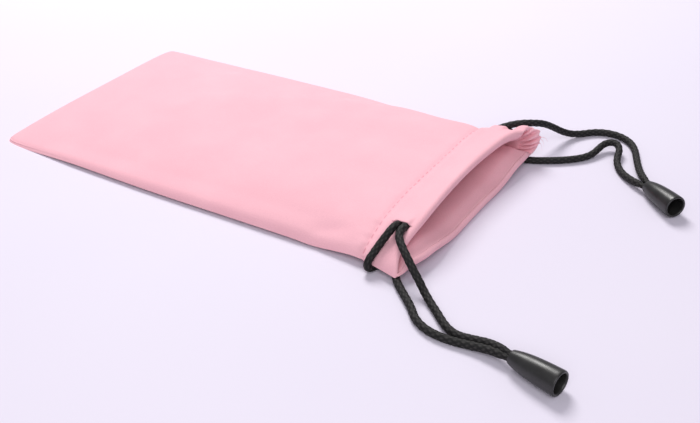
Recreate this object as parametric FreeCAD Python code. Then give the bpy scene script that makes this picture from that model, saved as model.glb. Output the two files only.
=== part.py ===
import FreeCAD, Part
import math
import os

os.makedirs("parts", exist_ok=True)
V = FreeCAD.Vector

# ---------------------------------------------------------------- driving dimensions (mm)
# +X runs from the closed end to the mouth, +Y to the far side, Z = 0 is the table.
CLOTH = 0.5            # thickness of one layer of microfibre
CORD = 2.4             # diameter of the braided drawcord
CHANNEL = 2.9          # height of a cord channel, between a panel and its hem
LIFT = 2.7             # how far the cords under the pouch lift the sides of its mouth end
SEAM_GAP = 0.3         # gap left between the two panels along their seams
THREAD = 0.5           # diameter of the sewing thread
STITCH_INSET = 4.0     # side seam, inside the folded edge

X_CLOSED = -86.0       # folded closed end
X_FLAT_END = 45.0      # the back panel lies flat on the table up to here
X_LIFTED = 64.0        # and is fully lifted by the cords from here
X_STITCH = 66.6        # hem stitch line
X_MOUTH = 83.0         # mouth fold, on the centre line
MOUTH_SKEW = 0.027     # the mouth fold runs slightly aslant: x grows with y
NEAR_CORD_X = 74.9     # the near cord's place in the channels
FAR_CORD_X = 71.9      # the far cord's place in the channels

# A hem's rows: x, and its distance from the panel it belongs to
HEM_ROWS = [(X_STITCH, 0.05), (X_STITCH + 2.6, CHANNEL), (X_MOUTH - 3.4, CHANNEL), (X_MOUTH - 0.3, 0.05)]

# Plan and height of the upper side: x, near edge y, far edge y, crown height
STATIONS = [
    (X_CLOSED, -43.8, 43.9, 2.4),
    (-84.6, -46.3, 46.4, 2.6),
    (-81.0, -47.5, 47.6, 2.9),
    (-60.0, -47.5, 46.9, 4.4),
    (-20.0, -46.9, 46.5, 7.6),
    (20.0, -45.1, 45.9, 10.2),
    (X_FLAT_END, -44.0, 45.3, 11.4),
    (X_LIFTED, -43.4, 45.0, 12.1),
    (72.0, -44.6, 45.0, 13.7),
    (X_MOUTH, -46.9, 45.2, 16.5),
]
# Across the width, as a share of the half width. The near side slopes, the far side is boxy.
SHARES_NEAR = [-1.0, -0.985, -0.95, -0.89, -0.8, -0.68, -0.52, -0.33, -0.15]
SHARES_FAR = [0.0, 0.2, 0.4, 0.58, 0.72, 0.82, 0.89, 0.94, 0.975, 0.995, 1.0]

# Slits: x range, y range. Each one passes two cords, and in the last they cross.
NEAR_FRONT_SLIT = ((70.2, 76.7), (-34.4, -24.7))
FAR_FRONT_SLIT = ((70.2, 76.7), (34.2, 46.5))
NEAR_BACK_SLIT = ((70.2, 76.8), (-37.6, -26.8))
FAR_BACK_SLIT = ((70.2, 81.6), (27.8, 41.6))
FRONT_HEM_Y = (-32.5, 40.0)      # the hem's ends stop short of the side seams

BELL_LENGTH = 15.5
BELL_R_END = 3.8
# Outer profile: distance from the neck, radius
BELL_PROFILE = [(0.0, 1.95), (1.0, 2.35), (3.0, 2.85), (6.0, 3.3), (10.0, 3.62), (BELL_LENGTH, BELL_R_END)]
BORE_R = 1.75
PAIR_R = 1.6           # the two cords pressed together
CAVITY_START = 4.6
CAVITY_R = (2.3, 3.05)
KNOT_AT = 8.4
# Each cord end: middle of its round end, heading, and tilt, as the neck lies a little lower
NEAR_BELL = (V(139.4, -64.6, BELL_R_END), math.radians(-12.6), math.radians(1.5))
FAR_BELL = (V(139.4, 33.5, 4.0), math.radians(-38.0), math.radians(4.0))
NEAR_PAIR_OUT = 11.0   # straight pair outside the neck, the way the cord end slides
FAR_PAIR_OUT = 2.6


# ---------------------------------------------------------------- the cloth's shape
def station(x):
    """Near edge, far edge and crown height at x, straight between the stations."""
    for a, b in zip(STATIONS, STATIONS[1:]):
        if x <= b[0]:
            break
    u = (x - a[0]) / (b[0] - a[0])
    return [p + (q - p) * u for p, q in zip(a[1:], b[1:])]


def seam_height(x):
    """Height of the front panel's edge above the table."""
    u = min(1.0, max(0.0, (x - X_FLAT_END) / (X_LIFTED - X_FLAT_END)))
    return CLOTH + SEAM_GAP + LIFT * u * (1.0 - SEAM_GAP / LIFT * 0.7)


def crown_share(share):
    """Height of the arch, 0 at an edge and 1 at the crown."""
    if share < 0:
        return (1.0 - abs(share) ** 3) ** 0.835
    return (1.0 - share ** 8) ** 0.7


def skew(x):
    """Slant of a cross-section: none behind the stitch line, MOUTH_SKEW at the mouth."""
    return MOUTH_SKEW * min(1.0, max(0.0, (x - X_STITCH) / (X_MOUTH - X_STITCH)))


def arch(x, share, depth=0.0):
    """A point across the front panel, on its outer face or at a depth under it."""
    near, far, crown = station(x)
    seam = seam_height(x)
    y = share * (-near - depth if share < 0 else far - depth)
    z = seam + (crown - depth - seam) * crown_share(share)
    return V(x + skew(x) * y, y, z)


def share_at(x, y, depth=0.0):
    near, far, _ = station(x)
    return y / (-near - depth if y < 0 else far - depth)


def curve(points):
    spline = Part.BSplineCurve()
    spline.interpolate(points)
    return spline.toShape()


def layer_section(x, shares, depth):
    """A closed section of one layer of cloth, between depth and depth + CLOTH."""
    top = [arch(x, s, depth) for s in shares]
    under = [arch(x, s, depth + CLOTH) for s in shares]
    return Part.Wire([curve(top), Part.makeLine(top[-1], under[-1]),
                      curve(under[::-1]), Part.makeLine(under[0], top[0])])


def polygon_section(points):
    return Part.makePolygon(points + points[:1])


# ---------------------------------------------------------------- cords and threads
def tube(points, radius, name=""):
    """A round tube along straight runs joined by arcs as large as the runs allow."""
    points = [V(p) for p in points]
    edges = []
    start = points[0]
    radii = []
    for a, b, c in zip(points, points[1:], points[2:]):
        before, after = b - a, c - b
        turn = before.getAngle(after)
        setback = 0.45 * min(before.Length, after.Length)
        radii.append(setback / math.tan(turn / 2))
        first = b - before.normalize() * setback
        last = b + after.normalize() * setback
        to_middle = (first + last) * 0.5 - b
        middle = b + to_middle.normalize() * radii[-1] * (1 / math.cos(turn / 2) - 1)
        edges.append(Part.makeLine(start, first))
        edges.append(Part.Arc(first, middle, last).toShape())
        start = last
    edges.append(Part.makeLine(start, points[-1]))
    path = Part.Wire(edges)
    profile = Part.Wire(Part.makeCircle(radius, points[0], points[1] - points[0]))
    solid = path.makePipeShell([profile], True, False, 2)
    if name:
        ratio = solid.Volume / (math.pi * radius ** 2 * path.Length)
        bends = [round(r, 1) for r in radii]
        print(f"{name}: length {path.Length:.1f}, volume ratio {ratio:.4f}, radii {bends}")
    return solid


def save(shape, name):
    shape.exportStep(f"parts/{name}.step")
    print(f"{name}: {len(shape.Solids)} solid, valid {shape.isValid()}, volume {shape.Volume:.1f}")


# ---------------------------------------------------------------- front panel and its hem
def slit_cutter(span, z_low, z_high):
    """An oblong hole with round ends, along the cords that pass it."""
    (x_low, x_high), (y_low, y_high) = span
    box = Part.makeBox(x_high - x_low, y_high - y_low, z_high - z_low, V(x_low, y_low, z_low))
    corners = [e for e in box.Edges if abs(e.Vertexes[0].Z - e.Vertexes[1].Z) > 1]
    return box.makeFillet(2.0, corners)


def front_panel():
    shares = SHARES_NEAR + SHARES_FAR
    sections = [layer_section(row[0], shares, 0.0) for row in STATIONS]
    panel = Part.makeLoft(sections, True, True)
    for span in (NEAR_FRONT_SLIT, FAR_FRONT_SLIT):
        panel = panel.cut(slit_cutter(span, 5.0, 20.0))
    return panel


def front_hem():
    """The turned-in layer: it meets the panel at the stitch line and the fold, with the channel between."""
    sections = []
    for x, drop in HEM_ROWS:
        low, high = [share_at(x, y) for y in FRONT_HEM_Y]
        shares = [low + (high - low) * i / 12 for i in range(13)]
        sections.append(layer_section(x, shares, CLOTH + drop))
    return Part.makeLoft(sections, True, True)


def front_hem_stitching():
    """Thread laid along the stitch line, let into the panel's outer face."""
    shares = [-0.93, -0.84, -0.73, -0.6, -0.45, -0.28, -0.1, 0.1, 0.3, 0.48, 0.63, 0.75, 0.85, 0.93]
    return tube([arch(X_STITCH, s, 0.1) for s in shares], THREAD / 2)


# ---------------------------------------------------------------- back panel and its hem
def back_rows(x, lift):
    """Underside points across the back panel: lifted by the cords at the sides, down between."""
    near, far, _ = station(x)
    ys = [near, -27.0, -19.0, 20.0, 28.0, far]
    zs = [lift, lift, 0.0, 0.0, lift, lift]
    return [V(x + skew(x) * y, y, z) for y, z in zip(ys, zs)]


def lifted_section(x, lift):
    under = back_rows(x, lift)
    top = [p + V(0, 0, CLOTH) for p in under]
    return polygon_section(under + top[::-1])


def back_panel():
    flat_rows = [row for row in STATIONS if row[0] <= X_FLAT_END]
    near_side = [V(x, near, 0) for x, near, _, _ in flat_rows]
    far_side = [V(x, far, 0) for x, _, far, _ in flat_rows]
    outline = Part.Face(Part.makePolygon(near_side + far_side[::-1] + near_side[:1]))
    flat = outline.extrude(V(0, 0, CLOTH))
    mouth_end = Part.makeLoft([lifted_section(X_FLAT_END, 0.0), lifted_section(X_LIFTED, LIFT),
                               lifted_section(72.0, LIFT), lifted_section(X_MOUTH, LIFT)], True, True)
    panel = flat.fuse(mouth_end)
    for span in (NEAR_BACK_SLIT, FAR_BACK_SLIT):
        panel = panel.cut(slit_cutter(span, LIFT - 1.2, LIFT + 1.5))
    return panel


def back_hem():
    """The turned-in layer above the back panel, with the lower cord channel between them."""
    sections = []
    for x, rise in HEM_ROWS:
        under = [V(x + skew(x) * y, y, z + CLOTH + rise) for y, z in
                 [(-29.5, LIFT), (-27.0, LIFT), (-19.0, 0), (20.0, 0), (28.0, LIFT), (32.5, LIFT)]]
        sections.append(polygon_section(under + [p + V(0, 0, CLOTH) for p in under[::-1]]))
    return Part.makeLoft(sections, True, True)


def back_hem_stitching():
    """Thread along the lower stitch line, let into the hem's upper face."""
    z = 2 * CLOTH + 0.05
    points = [(-29.0, LIFT + z), (-26.5, LIFT + z), (-19.5, z + 0.1), (-9.0, z),
              (10.0, z + 0.05), (20.5, z + 0.1), (27.5, LIFT + z), (32.0, LIFT + z - 0.02)]
    return tube([V(X_STITCH + 0.5, y, zz + 0.1) for y, zz in points], THREAD / 2)


# ---------------------------------------------------------------- seams
def side_stitching(side):
    """Thread along a side seam, inside the pouch and let into the back panel's upper face."""
    def point(x, lift):
        near, far, _ = station(x)
        y = near + STITCH_INSET if side < 0 else far - STITCH_INSET
        return V(x + skew(x) * y, y, CLOTH + lift + 0.1)
    flat = [point(x, 0) for x in (-79.0, -55.0, -18.0, 18.0, X_FLAT_END - 1)]
    return tube(flat + [point(X_LIFTED - 1, LIFT), point(80.0, LIFT)], THREAD / 2)


def closed_end_stitching():
    return tube([V(X_CLOSED + 2.6, -37.0, CLOTH + 0.1), V(X_CLOSED + 2.3, 0, CLOTH + 0.1),
                 V(X_CLOSED + 2.6, 37.0, CLOTH + 0.1)], THREAD / 2)


# ---------------------------------------------------------------- cords in the channels
CHANNEL_MIDDLE = CLOTH + CHANNEL / 2
PRESSED = 0.08         # the upper cords are pulled up against the panel by this much


def front_run(x):
    """A cord in the upper channel, from the near slit to the far one."""
    ys = [-24.4, -19.4, -14.0, -8.0, 0.0, 8.0, 16.0, 23.0, 29.0, 34.0]
    depth = CHANNEL_MIDDLE - PRESSED
    return [arch(x, share_at(x, y, depth), depth) for y in ys]


def back_run(x):
    """A cord in the lower channel, which dips to the table between the lifted sides."""
    rows = [(-26.2, LIFT - 0.2), (-22.9, LIFT * 0.48), (-18.6, -0.1), (-8.0, 0.0),
            (7.0, -0.02), (19.6, -0.1), (23.9, LIFT * 0.48), (27.2, LIFT - 0.2)]
    return [V(x, y, CHANNEL_MIDDLE + z) for y, z in rows]


# The far cord turns round the near side: front slit, over the hem, round the edge, back slit
FAR_CORD_TURN = [
    (71.9, -24.9, 10.4), (72.0, -29.4, 11.4), (72.4, -33.4, 11.7), (72.2, -37.7, 10.5), (71.2, -41.8, 8.2),
    (70.5, -45.7, 6.1), (70.3, -46.6, 3.4), (70.6, -45.1, 1.15), (71.8, -41.2, 1.2), (72.1, -37.4, 1.3),
    (71.9, -33.4, 2.4), (71.9, -30.2, 3.8), (71.9, -27.1, 4.6),
]
# The near cord turns round the far side
NEAR_CORD_TURN = [
    (74.9, 34.6, 11.4), (75.0, 38.4, 11.9), (75.1, 42.5, 11.4), (75.2, 45.7, 9.4), (75.1, 47.3, 6.4),
    (74.9, 47.2, 3.4), (75.0, 45.2, 1.2), (75.1, 41.6, 1.2), (75.0, 37.8, 1.3), (75.0, 34.1, 2.4),
    (74.9, 31.1, 3.8), (74.9, 28.1, 4.6),
]
# Free ends of the near cord
NEAR_UPPER = [
    (74.9, -24.9, 11.0), (75.0, -29.6, 12.1), (75.2, -34.0, 12.2), (76.6, -37.4, 11.4), (78.8, -40.2, 10.2),
    (81.6, -42.9, 9.1), (84.6, -44.7, 6.9), (87.6, -46.3, 4.1), (91.2, -48.3, 1.6), (95.9, -51.2, 1.2),
    (100.3, -54.3, 1.2), (104.0, -56.8, 1.25), (107.5, -58.0, 1.6),
]
NEAR_LOWER = [
    (74.9, -27.1, 4.6), (75.0, -30.2, 3.8), (75.2, -33.4, 2.4), (75.8, -37.0, 1.3), (77.0, -40.8, 1.2),
    (80.2, -46.0, 1.2), (85.4, -51.2, 1.2), (90.2, -54.9, 1.2), (94.4, -58.4, 1.2), (99.2, -60.7, 1.2),
    (103.8, -61.1, 1.25), (107.5, -60.7, 1.6),
]
# Free ends of the far cord
FAR_UPPER = [
    (71.9, 34.6, 10.8), (72.0, 38.6, 11.6), (72.6, 42.8, 12.5), (74.6, 46.0, 13.0), (78.0, 47.4, 13.1),
    (82.3, 48.0, 12.7), (85.6, 50.6, 11.3), (87.8, 54.9, 8.6), (90.1, 60.6, 4.8), (92.9, 67.4, 1.7),
    (97.9, 73.2, 1.2), (104.9, 75.4, 1.2), (110.9, 73.2, 1.2), (114.6, 68.4, 1.2), (117.2, 62.2, 1.2),
    (119.9, 56.2, 1.3), (122.6, 51.6, 1.8), (124.3, 48.8, 2.3), (125.65, 46.05, 2.6),
]
FAR_LOWER = [
    (71.9, 28.1, 4.6), (71.9, 32.4, 4.8), (72.6, 36.2, 4.7), (75.2, 38.6, 4.2), (78.4, 39.3, 2.6),
    (81.4, 39.8, 1.25), (85.2, 40.8, 1.2), (90.4, 43.8, 1.2), (96.2, 48.0, 1.2), (100.6, 52.4, 1.2),
    (103.4, 57.4, 1.5), (104.2, 61.2, 2.4), (104.7, 64.7, 3.1), (106.15, 66.1, 3.4), (108.15, 66.2, 3.45),
    (109.75, 65.0, 3.1), (110.6, 61.2, 2.0), (112.4, 55.6, 1.3), (115.8, 50.2, 1.2), (119.7, 46.9, 1.5),
    (123.8, 44.2, 2.4),
]


# ---------------------------------------------------------------- cord ends
def bell_axis(place):
    """Unit vector from the neck to the round end."""
    _, heading, tilt = place
    level = math.cos(tilt)
    return V(math.cos(heading) * level, math.sin(heading) * level, math.sin(tilt))


def along_bell(place, s):
    return place[0] - bell_axis(place) * (BELL_LENGTH - s)


def turned(profile, place):
    """A solid turned from (distance from the neck, radius) outline points about the bell's axis."""
    outline = Part.Face(Part.makePolygon([V(s, r, 0) for s, r in profile + profile[:1]]))
    solid = outline.revolve(V(0, 0, 0), V(1, 0, 0), 360)
    turn = FreeCAD.Rotation(V(1, 0, 0), bell_axis(place))
    solid.Placement = FreeCAD.Placement(along_bell(place, 0), turn)
    return solid


def bell(place):
    cavity = [(BELL_LENGTH, CAVITY_R[1]), (CAVITY_START + 1.4, CAVITY_R[0])]
    bore = [(CAVITY_START, BORE_R), (0.0, BORE_R)]
    return turned(BELL_PROFILE + cavity + bore, place)


def knot(place):
    """The lump of the two tied ends, seated in the bell's cavity."""
    turn = FreeCAD.Rotation(V(0, 0, 1), bell_axis(place))
    ring = Part.makeTorus(1.25, 0.95)
    core = Part.makeSphere(1.7)
    lump = ring.fuse(core)
    lump.Placement = FreeCAD.Placement(along_bell(place, KNOT_AT), turn)
    return lump


def pair_route(place, out):
    """The two cords pressed together, straight through the neck to the knot."""
    return [along_bell(place, -out), along_bell(place, KNOT_AT - 1.75)]


def near_pair():
    meeting = V(107.9, -59.35, 1.75)
    route = [meeting] + pair_route(NEAR_BELL, NEAR_PAIR_OUT)
    return tube(route, PAIR_R, "near_cord_pair")


def far_pair():
    first, last = pair_route(FAR_BELL, FAR_PAIR_OUT)
    return Part.makeCylinder(PAIR_R, (last - first).Length, first, last - first)


def main():
    save(front_panel(), "front_panel")
    save(front_hem(), "front_hem")
    save(front_hem_stitching(), "front_hem_stitching")
    save(back_panel(), "back_panel")
    save(back_hem(), "back_hem")
    save(back_hem_stitching(), "back_hem_stitching")
    save(side_stitching(-1), "near_side_stitching")
    save(side_stitching(1), "far_side_stitching")
    save(closed_end_stitching(), "closed_end_stitching")
    cords = {
        "near_cord_front_run": front_run(NEAR_CORD_X),
        "far_cord_front_run": front_run(FAR_CORD_X),
        "near_cord_back_run": back_run(NEAR_CORD_X),
        "far_cord_back_run": back_run(FAR_CORD_X),
        "near_cord_turn": NEAR_CORD_TURN,
        "far_cord_turn": FAR_CORD_TURN,
        "near_upper_strand": NEAR_UPPER,
        "near_lower_strand": NEAR_LOWER,
        "far_upper_strand": FAR_UPPER,
        "far_lower_strand": FAR_LOWER,
    }
    for name, route in cords.items():
        save(tube(route, CORD / 2, name), name)
    save(near_pair(), "near_cord_pair")
    save(far_pair(), "far_cord_pair")
    save(knot(NEAR_BELL), "near_knot")
    save(knot(FAR_BELL), "far_knot")
    save(bell(NEAR_BELL), "near_cord_end")
    save(bell(FAR_BELL), "far_cord_end")


main()
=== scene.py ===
import math

import bpy
import numpy as np
from mathutils import Matrix, Vector, noise


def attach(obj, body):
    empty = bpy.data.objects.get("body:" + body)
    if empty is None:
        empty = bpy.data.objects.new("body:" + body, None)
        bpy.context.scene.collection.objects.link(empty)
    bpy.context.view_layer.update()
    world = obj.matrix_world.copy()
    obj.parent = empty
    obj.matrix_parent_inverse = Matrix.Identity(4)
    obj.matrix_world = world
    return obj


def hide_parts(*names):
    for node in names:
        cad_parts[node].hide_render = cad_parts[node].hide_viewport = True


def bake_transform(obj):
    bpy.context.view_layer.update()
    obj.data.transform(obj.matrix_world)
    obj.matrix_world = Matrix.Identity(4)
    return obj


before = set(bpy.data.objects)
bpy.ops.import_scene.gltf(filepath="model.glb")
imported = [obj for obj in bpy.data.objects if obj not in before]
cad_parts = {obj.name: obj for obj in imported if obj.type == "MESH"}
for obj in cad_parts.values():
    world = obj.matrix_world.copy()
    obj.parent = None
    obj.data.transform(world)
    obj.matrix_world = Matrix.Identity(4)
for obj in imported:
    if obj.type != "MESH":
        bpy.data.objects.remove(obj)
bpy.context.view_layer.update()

# ---------------------------------------------------------------- sizes (metres)
# +X runs from the closed end to the mouth, +Y to the far side, z = 0 is the table.
CLOTH = 0.0005             # thickness of one layer of microfibre
CORD = 0.0024              # diameter of the braided drawcord
LIFT = 0.0027              # the cords under the pouch lift the sides of its mouth end
X_CLOSED = -0.086
X_FLAT_END = 0.045         # the back panel lies on the table up to here
X_LIFTED = 0.064           # and is fully lifted by the cords from here
X_STITCH = 0.0666          # hem stitch line
X_MOUTH = 0.083            # the upper edge's straight line, on the centre line; see mouth_shift
X_BACK_MOUTH = 0.0848      # mouth fold of the back panel
MOUTH_SKEW = 0.027         # the mouth fold runs slightly aslant: x grows with y
FOLD_R = 0.0016            # radius of the mouth fold
BACK_FOLD_R = 0.0013       # radius of the lower lip's fold
CHANNEL_DEPTH = 0.0034     # the front hem's depth under the panel where the cords run

# Upper side of the pouch: x, near edge y, far edge y, crown height
STATIONS = np.array([
    (-0.0860, -0.0450, 0.0449, 0.0024),
    (-0.0854, -0.0463, 0.0464, 0.0025),
    (-0.0838, -0.0472, 0.0474, 0.0027),
    (-0.0800, -0.0476, 0.0476, 0.0030),
    (-0.0600, -0.0475, 0.0469, 0.0044),
    (-0.0200, -0.0469, 0.0465, 0.0076),
    (0.0200, -0.0451, 0.0459, 0.0102),
    (0.0450, -0.0440, 0.0453, 0.0114),
    (0.0640, -0.0434, 0.0450, 0.0121),
    (0.0720, -0.0446, 0.0450, 0.0137),
    (0.0830, -0.0469, 0.0452, 0.0165),
])

# ---------------------------------------------------------------- cord routes (metres)
# The near cord's upper end: over the hem to the table, then on to its cord end
NEAR_UPPER_LEAD = [
    (0.0749, -0.0249, 0.0110), (0.0750, -0.0290, 0.0104), (0.0754, -0.0322, 0.0110),
    (0.0756, -0.0344, 0.0118), (0.0757, -0.0366, 0.0114), (0.0768, -0.0386, 0.0107),
    (0.0789, -0.0406, 0.0100), (0.0817, -0.0428, 0.0089), (0.0849, -0.0448, 0.0069),
    (0.0881, -0.0462, 0.0043), (0.0913, -0.0479, 0.0017), (0.0945, -0.0503, 0.0012),
]
NEAR_UPPER = [
    (0.0945, -0.0503, 0.0012), (0.0974, -0.0526, 0.0012), (0.1003, -0.0552, 0.0012),
    (0.1036, -0.0577, 0.0013), (0.1072, -0.0590, 0.0014), (0.1118, -0.0586, 0.0018),
    (0.1172, -0.0586, 0.0029), (0.1222, -0.0601, 0.0036), (0.1262, -0.0614, 0.0039),
    (0.1305, -0.0625, 0.0038), (0.1322, -0.0629, 0.0039),
]
NEAR_LOWER = [
    (0.0749, -0.0271, 0.0046), (0.0750, -0.0302, 0.0038), (0.0752, -0.0334, 0.0024),
    (0.0758, -0.0370, 0.0013), (0.0770, -0.0408, 0.0012), (0.0802, -0.0460, 0.0012),
    (0.0858, -0.0508, 0.0012), (0.0904, -0.0548, 0.0012), (0.0936, -0.0586, 0.0012),
    (0.0984, -0.0612, 0.0012), (0.1036, -0.0618, 0.0012), (0.1081, -0.0614, 0.0012),
    (0.1124, -0.0608, 0.0015), (0.1176, -0.0607, 0.0024), (0.1222, -0.0614, 0.0029),
    (0.1262, -0.0622, 0.0031), (0.1305, -0.0632, 0.0035), (0.1322, -0.0635, 0.0035),
]
FAR_UPPER_LEAD = [
    (0.0719, 0.0346, 0.0106), (0.0721, 0.0382, 0.0109), (0.0734, 0.0411, 0.0110),
    (0.0760, 0.0437, 0.0117), (0.0791, 0.0461, 0.0121), (0.0821, 0.0489, 0.0117),
    (0.0845, 0.0532, 0.0102), (0.0864, 0.0580, 0.0071), (0.0889, 0.0626, 0.0036),
    (0.0920, 0.0670, 0.0014), (0.0950, 0.0706, 0.0012),
]
FAR_UPPER = [
    (0.0950, 0.0706, 0.0012), (0.0980, 0.0740, 0.0012), (0.1049, 0.0757, 0.0012),
    (0.1109, 0.0732, 0.0012), (0.1146, 0.0684, 0.0012), (0.1172, 0.0622, 0.0012),
    (0.1199, 0.0562, 0.0013), (0.1224, 0.0514, 0.0019), (0.1240, 0.0484, 0.0026),
    (0.1256, 0.0457, 0.0032), (0.1279, 0.0432, 0.0035), (0.1319, 0.0400, 0.0038),
    (0.1339, 0.0383, 0.0039),
]
FAR_LOWER = [
    (0.0719, 0.0281, 0.0046), (0.0719, 0.0324, 0.0048), (0.0726, 0.0362, 0.0047),
    (0.0752, 0.0386, 0.0042), (0.0784, 0.0393, 0.0026), (0.0814, 0.0398, 0.0013),
    (0.0852, 0.0408, 0.0012), (0.0904, 0.0438, 0.0012), (0.0962, 0.0480, 0.0012),
    (0.1006, 0.0524, 0.0012), (0.1029, 0.0565, 0.0015), (0.1037, 0.0604, 0.0023),
    (0.1045, 0.0636, 0.0029), (0.1065, 0.0656, 0.0032), (0.1090, 0.0652, 0.0032),
    (0.1107, 0.0624, 0.0025), (0.1112, 0.0586, 0.0016), (0.1127, 0.0544, 0.0013),
    (0.1158, 0.0500, 0.0012), (0.1199, 0.0465, 0.0016), (0.1236, 0.0440, 0.0024),
    (0.1272, 0.0421, 0.0027), (0.1310, 0.0391, 0.0031), (0.1332, 0.0375, 0.0033),
]
# The far cord turns round the near side; the near cord turns round the far side
FAR_CORD_TURN = [
    (0.0719, -0.0249, 0.0104), (0.0721, -0.0290, 0.0098), (0.0727, -0.0320, 0.0106),
    (0.0730, -0.0341, 0.0117), (0.0728, -0.0358, 0.0116), (0.0722, -0.0380, 0.0101),
    (0.0714, -0.0403, 0.0082), (0.0708, -0.0430, 0.0062), (0.0703, -0.0454, 0.0046),
    (0.0703, -0.0464, 0.0028), (0.0706, -0.0451, 0.0012), (0.0718, -0.0412, 0.0012),
    (0.0721, -0.0374, 0.0013), (0.0719, -0.0334, 0.0024), (0.0719, -0.0302, 0.0038),
    (0.0719, -0.0271, 0.0046),
]
NEAR_CORD_TURN = [
    (0.0749, 0.0346, 0.0112), (0.0750, 0.0384, 0.0110), (0.0751, 0.0418, 0.0101),
    (0.0752, 0.0448, 0.0083), (0.0751, 0.0468, 0.0060), (0.0749, 0.0470, 0.0034),
    (0.0750, 0.0452, 0.0012), (0.0751, 0.0416, 0.0012), (0.0750, 0.0378, 0.0013),
    (0.0750, 0.0341, 0.0024), (0.0749, 0.0311, 0.0038), (0.0749, 0.0281, 0.0046),
]
NEAR_CORD_X = 0.0749
FAR_CORD_X = 0.0719

# ---------------------------------------------------------------- cord ends
BELL_LENGTH = 0.0155
BELL_R = 0.0038
KNOT_AT = 0.0084
# Each cord end: middle of its round end, heading, and tilt
NEAR_BELL = (Vector((0.1394, -0.0646, BELL_R)), math.radians(-12.6), math.radians(1.5))
FAR_BELL = (Vector((0.1394, 0.0335, 0.0040)), math.radians(-38.0), math.radians(4.0))


# ---------------------------------------------------------------- small helpers
def smoothstep(low, high, value):
    u = np.clip((value - low) / (high - low), 0.0, 1.0)
    return u * u * (3 - 2 * u)


def through(xs, ys, x):
    """Monotone cubic through the points (xs, ys), held level beyond its ends."""
    xs, ys = np.asarray(xs, float), np.asarray(ys, float)
    x = np.clip(x, xs[0], xs[-1])
    h = np.diff(xs)
    d = np.diff(ys) / h
    m = np.concatenate([d[:1], np.zeros(len(d) - 1), d[-1:]])
    same = d[:-1] * d[1:] > 0
    m[1:-1][same] = 2 * d[:-1][same] * d[1:][same] / (d[:-1] + d[1:])[same]
    i = np.clip(np.searchsorted(xs, x, side="right") - 1, 0, len(h) - 1)
    t = (x - xs[i]) / h[i]
    a = ys[i] * (1 + 2 * t) * (1 - t) ** 2 + ys[i + 1] * t * t * (3 - 2 * t)
    return a + h[i] * (m[i] * t * (1 - t) ** 2 + m[i + 1] * t * t * (t - 1))


def cloud(x, y, z=0.0, octaves=2):
    """Smooth noise, about -1 to 1, at each point of equal arrays x and y, in wavelengths."""
    flat = [noise.fractal(Vector((a, b, z)), 1.0, 2.0, octaves) for a, b in zip(np.ravel(x), np.ravel(y))]
    return np.array(flat).reshape(np.shape(x))


def add_mesh(name, vertices, faces, material, smooth=True):
    mesh = bpy.data.meshes.new(name)
    mesh.from_pydata([tuple(v) for v in vertices], [], faces)
    mesh.update()
    for polygon in mesh.polygons:
        polygon.use_smooth = smooth
    mesh.materials.append(material)
    obj = bpy.data.objects.new(name, mesh)
    bpy.context.collection.objects.link(obj)
    return obj


def bake_modifiers(obj):
    """Apply the object's modifiers to its mesh."""
    evaluated = obj.evaluated_get(bpy.context.evaluated_depsgraph_get())
    mesh = bpy.data.meshes.new_from_object(evaluated)
    obj.modifiers.clear()
    obj.data = mesh


def thicken(obj, thickness):
    """Give a sheet its thickness, inwards from its modelled face."""
    solid = obj.modifiers.new("thickness", "SOLIDIFY")
    solid.thickness = thickness
    solid.offset = -1
    bake_modifiers(obj)


def follow_mouth(obj):
    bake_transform(obj)


# ---------------------------------------------------------------- materials
def new_material(name):
    material = bpy.data.materials.new(name)
    material.use_nodes = True
    nodes, links = material.node_tree.nodes, material.node_tree.links
    return material, nodes, links, nodes["Principled BSDF"]


def add_noise(nodes, links, coordinates, scale, detail=2.0):
    texture = nodes.new("ShaderNodeTexNoise")
    texture.inputs["Scale"].default_value = scale
    texture.inputs["Detail"].default_value = detail
    links.new(coordinates, texture.inputs["Vector"])
    return texture.outputs["Fac"]


def add_ramp(nodes, links, value, stops):
    ramp = nodes.new("ShaderNodeValToRGB")
    while len(ramp.color_ramp.elements) < len(stops):
        ramp.color_ramp.elements.new(0.5)
    for element, (position, colour) in zip(ramp.color_ramp.elements, stops):
        element.position = position
        element.color = (*colour, 1.0)
    links.new(value, ramp.inputs["Fac"])
    return ramp.outputs["Color"]


def add_mix(nodes, links, kind, factor, a, b):
    mix = nodes.new("ShaderNodeMix")
    mix.data_type = "RGBA"
    mix.blend_type = kind
    mix.inputs["Factor"].default_value = factor
    links.new(a, mix.inputs["A"])
    links.new(b, mix.inputs["B"])
    return mix.outputs["Result"]


def add_bump(nodes, links, height, strength, distance, normal=None):
    bump = nodes.new("ShaderNodeBump")
    bump.inputs["Strength"].default_value = strength
    bump.inputs["Distance"].default_value = distance
    links.new(height, bump.inputs["Height"])
    if normal is not None:
        links.new(normal, bump.inputs["Normal"])
    return bump.outputs["Normal"]


def add_sum(nodes, links, a, b, weight):
    """a + weight * b"""
    node = nodes.new("ShaderNodeMath")
    node.operation = "MULTIPLY_ADD"
    node.inputs[1].default_value = weight
    links.new(b, node.inputs[0])
    links.new(a, node.inputs[2])
    return node.outputs[0]


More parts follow.
